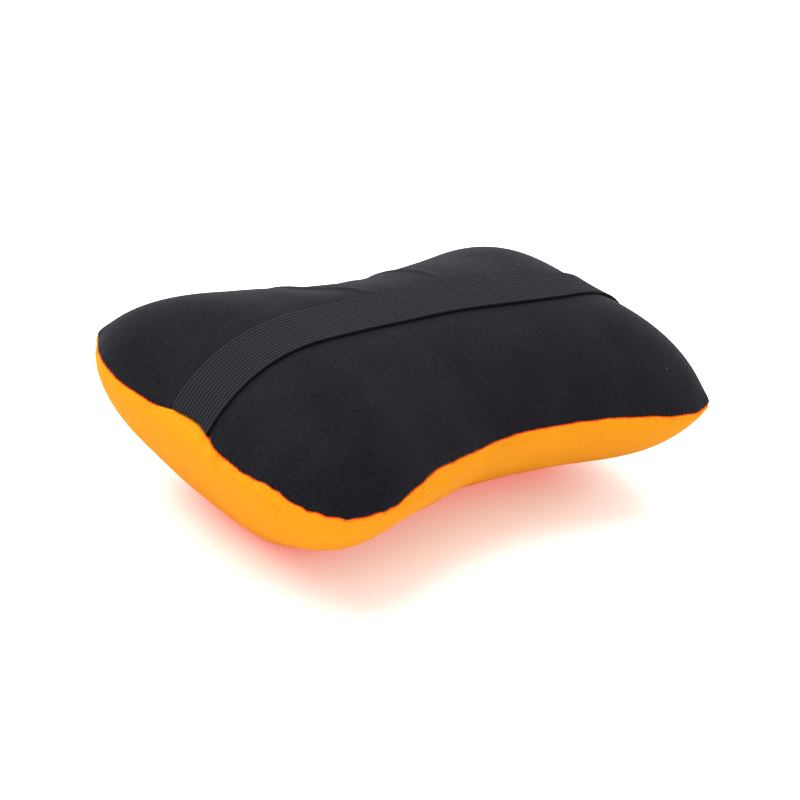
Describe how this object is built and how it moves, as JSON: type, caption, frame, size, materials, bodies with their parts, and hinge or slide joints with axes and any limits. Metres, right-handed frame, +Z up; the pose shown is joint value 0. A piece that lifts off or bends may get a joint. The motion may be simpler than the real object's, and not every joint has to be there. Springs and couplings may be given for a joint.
{
  "type": "camp pillow",
  "caption": "Waisted stuffed travel pillow with a dark knit top, an orange knit underside and an elastic strap running lengthwise over the crown.",
  "frame": {"origin": "on the ground, under the middle of the pillow", "axes": "+X along the pillow and its strap, +Y across it, +Z up through the dark crown"},
  "size_m": [0.2994, 0.1842, 0.1033],
  "materials": {
    "black_knit": "fine stretch knit, matte with a soft sheen at grazing angles",
    "orange_knit": "fine stretch knit in fluorescent orange, matte",
    "black_elastic": "ribbed knitted elastic, matte",
    "orange_thread": "polyester sewing thread",
    "black_thread": "polyester sewing thread",
    "liner_cloth": "plain white tricot",
    "micro_beads": "expanded polystyrene micro beads, as one mass"
  },
  "bodies": {
    "pillow": {"top_panel": "black_knit", "bottom_panel": "orange_knit", "seam_thread_front": "orange_thread", "seam_thread_back_left": "orange_thread", "seam_thread_back_right": "orange_thread", "closing_stitch": "orange_thread", "overlock_thread": "black_thread", "strap_tack_left": "black_thread", "strap_tack_right": "black_thread", "liner_upper": "liner_cloth", "liner_lower": "liner_cloth", "bead_fill": "micro_beads"},
    "strap": {"elastic_strap": "black_elastic"}
  },
  "joints": [
    {"name": "strap_lift", "type": "slide", "parent": "pillow", "child": "strap", "axis": [0, 0, 1], "range_m": [0, 0.05], "stiffness_N_per_m": 120, "springref_m": -0.01, "deforming": ["elastic_strap"]}
  ]
}
